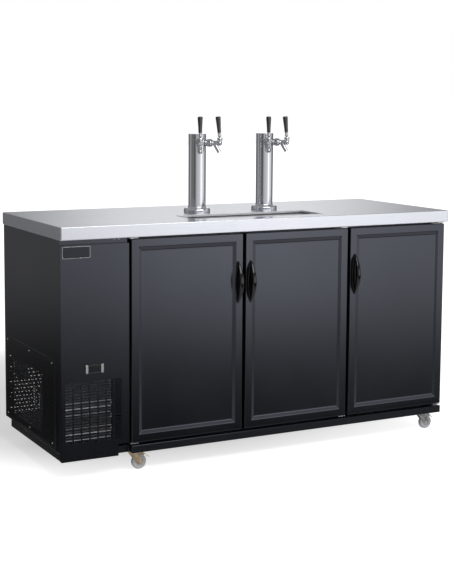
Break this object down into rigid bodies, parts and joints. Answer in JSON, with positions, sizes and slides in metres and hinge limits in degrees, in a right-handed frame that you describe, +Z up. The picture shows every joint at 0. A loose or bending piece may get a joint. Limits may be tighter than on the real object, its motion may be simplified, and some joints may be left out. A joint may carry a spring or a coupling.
{
  "type": "direct draw beer dispenser",
  "caption": "Keg cooler on castors: insulated cabinet with hinged solid doors, slotted machine compartment, steel worktop with drip tray, and tap towers with levers.",
  "frame": {"origin": "on the floor, under the middle of the whole object's bounding box", "axes": "+X along the worktop to the user's right, +Y to the back, away from the doors, +Z up"},
  "size_m": [1.85, 0.7384, 1.4338],
  "materials": {
    "black_paint": "satin black paint on sheet steel",
    "dark_paint": "matt black paint",
    "badge_paint": "bare black plate with a thin bright border",
    "worktop_steel": "satin brushed along the length",
    "tower_steel": "polished round the column",
    "polished_steel": "polished",
    "gloss_black": "gloss black",
    "gasket_rubber": "dull grey magnetic seal",
    "liner_metal": "plain galvanised sheet",
    "zinc": "zinc plated",
    "castor_tyre": "grey non-marking tread",
    "coil_metal": "dull fins and tube runs",
    "black_plastic": "moulded, slightly grained"
  },
  "bodies": {
    "cabinet": {"cabinet_shell": "black_paint", "cabinet_liner": "liner_metal", "base_frame": "dark_paint", "worktop": "worktop_steel", "drip_tray": "polished_steel", "machine_housing": "black_paint", "front_panel": "black_paint", "badge_plate": "badge_paint", "temperature_controller": "black_plastic", "side_panel": "black_paint", "compressor": "gloss_black", "junction_box": "dark_paint", "condenser_coil": "coil_metal", "condenser_fan_shroud": "dark_paint", "evaporator_housing": "liner_metal", "left_door_lower_hinge": "zinc", "left_door_upper_hinge": "zinc", "middle_door_lower_hinge": "zinc", "middle_door_upper_hinge": "zinc", "right_door_lower_hinge": "zinc", "right_door_upper_hinge": "zinc", "left_tower": "tower_steel", "left_faucet_a": "polished_steel", "left_faucet_b": "polished_steel", "right_tower": "tower_steel", "right_faucet_a": "polished_steel", "right_faucet_b": "polished_steel", "front_left_castor_plate": "zinc", "rear_left_castor_plate": "zinc", "front_right_castor_plate": "zinc", "rear_right_castor_plate": "zinc"},
    "left_door": {"left_door": "black_paint", "left_door_gasket": "gasket_rubber", "left_door_handle": "gloss_black"},
    "middle_door": {"middle_door": "black_paint", "middle_door_gasket": "gasket_rubber", "middle_door_handle": "gloss_black"},
    "right_door": {"right_door": "black_paint", "right_door_gasket": "gasket_rubber", "right_door_handle": "gloss_black"},
    "left_lever_a": {"left_lever_a": "polished_steel", "left_tap_handle_a": "gloss_black"},
    "left_lever_b": {"left_lever_b": "polished_steel", "left_tap_handle_b": "gloss_black"},
    "right_lever_a": {"right_lever_a": "polished_steel", "right_tap_handle_a": "gloss_black"},
    "right_lever_b": {"right_lever_b": "polished_steel", "right_tap_handle_b": "gloss_black"},
    "front_left_fork": {"front_left_castor_fork": "zinc"},
    "front_left_wheel": {"front_left_castor_wheel": "castor_tyre"},
    "front_right_fork": {"front_right_castor_fork": "zinc"},
    "front_right_wheel": {"front_right_castor_wheel": "castor_tyre"},
    "rear_left_fork": {"rear_left_castor_fork": "zinc"},
    "rear_left_wheel": {"rear_left_castor_wheel": "castor_tyre"},
    "rear_right_fork": {"rear_right_castor_fork": "zinc"},
    "rear_right_wheel": {"rear_right_castor_wheel": "castor_tyre"},
    "front_left_pedal": {"front_left_brake_pedal": "zinc"},
    "front_right_pedal": {"front_right_brake_pedal": "zinc"},
    "condenser_fan": {"condenser_fan": "black_plastic"},
    "evaporator_fan": {"evaporator_fan": "black_plastic"}
  },
  "joints": [
    {"name": "left_door_hinge", "type": "hinge", "parent": "cabinet", "child": "left_door", "pos_m": [-0.612, -0.31485, 0.129], "axis": [0, 0, -1], "range_deg": [0, 90]},
    {"name": "middle_door_hinge", "type": "hinge", "parent": "cabinet", "child": "middle_door", "pos_m": [0.392, -0.31485, 0.129], "axis": [0, 0, 1], "range_deg": [0, 90]},
    {"name": "right_door_hinge", "type": "hinge", "parent": "cabinet", "child": "right_door", "pos_m": [0.909, -0.31485, 0.129], "axis": [0, 0, 1], "range_deg": [0, 90]},
    {"name": "left_lever_a_pivot", "type": "hinge", "parent": "cabinet", "child": "left_lever_a", "pos_m": [-0.17988, -0.05335, 1.3343], "axis": [0.9455, -0.3256, 0], "range_deg": [0, 30]},
    {"name": "left_lever_b_pivot", "type": "hinge", "parent": "cabinet", "child": "left_lever_b", "pos_m": [-0.07077, -0.02411, 1.3343], "axis": [0.6561, 0.7547, 0], "range_deg": [0, 30]},
    {"name": "right_lever_a_pivot", "type": "hinge", "parent": "cabinet", "child": "right_lever_a", "pos_m": [0.15712, -0.05335, 1.3343], "axis": [0.9455, -0.3256, 0], "range_deg": [0, 30]},
    {"name": "right_lever_b_pivot", "type": "hinge", "parent": "cabinet", "child": "right_lever_b", "pos_m": [0.26623, -0.02411, 1.3343], "axis": [0.6561, 0.7547, 0], "range_deg": [0, 30]},
    {"name": "front_left_swivel", "type": "hinge", "parent": "cabinet", "child": "front_left_fork", "pos_m": [-0.585, -0.26585, 0.0315], "axis": [0, 0, 1], "continuous": true},
    {"name": "front_left_roll", "type": "hinge", "parent": "front_left_fork", "child": "front_left_wheel", "pos_m": [-0.563, -0.26585, 0.0315], "axis": [0, 1, 0], "continuous": true},
    {"name": "front_right_swivel", "type": "hinge", "parent": "cabinet", "child": "front_right_fork", "pos_m": [0.858, -0.26585, 0.0315], "axis": [0, 0, 1], "continuous": true},
    {"name": "front_right_roll", "type": "hinge", "parent": "front_right_fork", "child": "front_right_wheel", "pos_m": [0.88, -0.26585, 0.0315], "axis": [0, 1, 0], "continuous": true},
    {"name": "rear_left_swivel", "type": "hinge", "parent": "cabinet", "child": "rear_left_fork", "pos_m": [-0.585, 0.23415, 0.0315], "axis": [0, 0, 1], "continuous": true},
    {"name": "rear_left_roll", "type": "hinge", "parent": "rear_left_fork", "child": "rear_left_wheel", "pos_m": [-0.563, 0.23415, 0.0315], "axis": [0, 1, 0], "continuous": true},
    {"name": "rear_right_swivel", "type": "hinge", "parent": "cabinet", "child": "rear_right_fork", "pos_m": [0.858, 0.23415, 0.0315], "axis": [0, 0, 1], "continuous": true},
    {"name": "rear_right_roll", "type": "hinge", "parent": "rear_right_fork", "child": "rear_right_wheel", "pos_m": [0.88, 0.23415, 0.0315], "axis": [0, 1, 0], "continuous": true},
    {"name": "front_left_brake", "type": "hinge", "parent": "front_left_fork", "child": "front_left_pedal", "pos_m": [-0.545, -0.26585, 0.0625], "axis": [0, 1, 0], "range_deg": [0, 12]},
    {"name": "front_right_brake", "type": "hinge", "parent": "front_right_fork", "child": "front_right_pedal", "pos_m": [0.898, -0.26585, 0.0625], "axis": [0, 1, 0], "range_deg": [0, 12]},
    {"name": "condenser_fan_spin", "type": "hinge", "parent": "cabinet", "child": "condenser_fan", "pos_m": [-0.797, -0.23285, 0.2783], "axis": [0, 1, 0], "continuous": true},
    {"name": "evaporator_fan_spin", "type": "hinge", "parent": "cabinet", "child": "evaporator_fan", "pos_m": [-0.4816, 0.13235, 0.7769], "axis": [1, 0, 0], "continuous": true}
  ]
}
